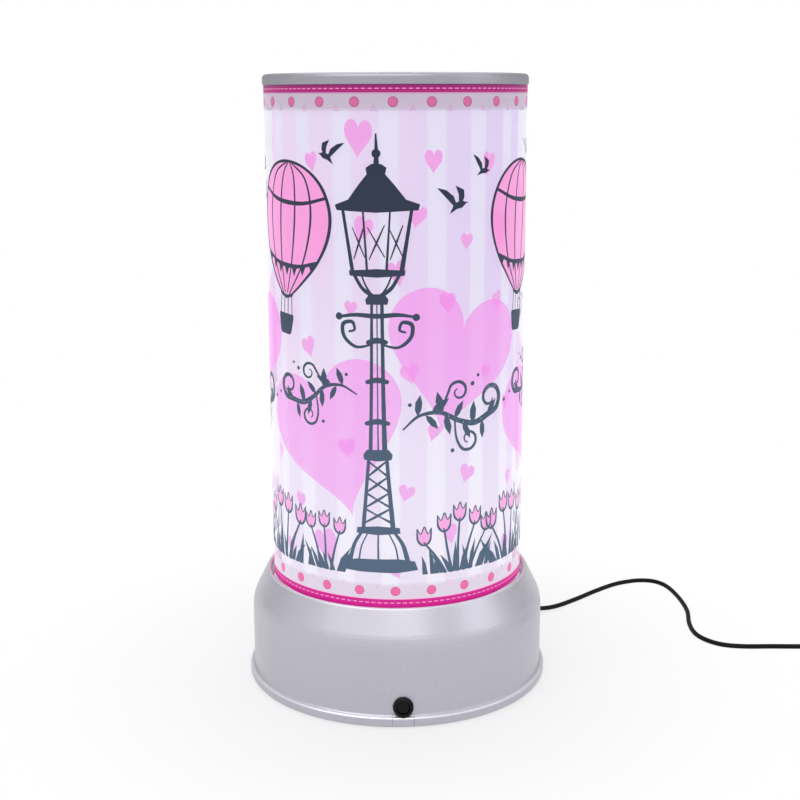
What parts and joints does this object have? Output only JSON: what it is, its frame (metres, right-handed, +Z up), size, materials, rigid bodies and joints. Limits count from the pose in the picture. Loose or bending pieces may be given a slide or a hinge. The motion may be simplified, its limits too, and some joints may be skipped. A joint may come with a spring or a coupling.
{
  "type": "rotating motion lamp",
  "caption": "Table lamp with a round silver base, a clear tube in a printed film, and a lit patterned sleeve that turns on a small gear motor; push button low on the front, thin cord with a low-voltage plug.",
  "frame": {"origin": "on the table, under the middle of the lamp", "axes": "+Z up along the lamp's axis; -Y is the front, with the push button; +X is to the right seen from the front"},
  "size_m": [0.3289, 0.1849, 0.28],
  "materials": {
    "silver_plastic": "satin metallic",
    "cap_plastic": "satin metallic",
    "cover_plastic": "matte",
    "clear_tube": "clear gloss",
    "printed_film": "printed clear film",
    "glow_sleeve": "milky, with pink and lavender stripes",
    "white_plastic": "matte",
    "bearing_plastic": "matte",
    "bright_steel": "brushed",
    "dark_steel": "blackened",
    "foot_rubber": "matte",
    "black_plastic": "satin",
    "lens_plastic": "frosted",
    "board_green": "matte",
    "board_white": "matte",
    "lamp_chip": "glowing",
    "component_plastic": "matte",
    "contact_brass": "bright",
    "cord_jacket": "satin",
    "red_lead": "satin",
    "white_lead": "satin",
    "yellow_lead": "satin"
  },
  "bodies": {
    "base": {"base_housing": "silver_plastic", "bottom_cover": "silver_plastic", "cover_screws": "dark_steel", "rubber_feet": "foot_rubber", "chassis_deck": "white_plastic", "deck_screws": "dark_steel", "centre_column": "white_plastic", "column_screws": "dark_steel", "thrust_washer": "bearing_plastic", "retaining_clip": "dark_steel", "pivot_pin": "bright_steel", "outer_tube": "clear_tube", "print_film": "printed_film", "top_cap": "cap_plastic", "gearbox": "bearing_plastic", "motor_can": "bright_steel", "motor_screws": "dark_steel", "led_carrier": "white_plastic", "led_board": "board_white", "led_chips": "lamp_chip", "led_screws": "dark_steel", "led_lens": "lens_plastic", "control_board": "board_green", "board_parts": "component_plastic", "board_screws": "dark_steel", "switch_bushing": "black_plastic", "switch_body": "component_plastic", "switch_nut": "bright_steel", "switch_spring": "bright_steel", "switch_terminals": "contact_brass", "supply_lead": "cord_jacket", "motor_leads": "red_lead", "led_leads": "white_lead", "switch_leads": "yellow_lead", "cord_clamp": "white_plastic", "clamp_screws": "dark_steel", "cord_grommet": "black_plastic", "cord_free": "cord_jacket", "cord_coil": "cord_jacket", "cord_tail": "cord_jacket", "cord_tie": "black_plastic", "plug_boot": "cord_jacket", "plug_body": "black_plastic", "plug_shell": "bright_steel", "plug_tongue": "white_plastic"},
    "drum": {"turntable": "white_plastic", "hub_bush": "bearing_plastic", "motion_sleeve": "glow_sleeve", "sleeve_ring": "white_plastic"},
    "pinion": {"drive_shaft": "bright_steel", "drive_pinion": "bearing_plastic"},
    "button": {"switch_button": "black_plastic"}
  },
  "joints": [
    {"name": "drum_spin", "type": "hinge", "parent": "base", "child": "drum", "pos_m": [0, 0, 0.0471], "axis": [0, 0, 1], "continuous": true},
    {"name": "pinion_spin", "type": "hinge", "parent": "base", "child": "pinion", "pos_m": [-0.02771, 0.016, 0.0446], "axis": [0, 0, 1], "continuous": true},
    {"name": "button_press", "type": "slide", "parent": "base", "child": "button", "axis": [-0.0401, 0.9992, 0], "range_m": [0, 0.0015], "stiffness_N_per_m": 300, "springref_m": -0.002, "deforming": ["switch_spring"]}
  ],
  "couplings": [
    {"joint": "pinion_spin", "follows": "drum_spin", "ratio": -4}
  ]
}
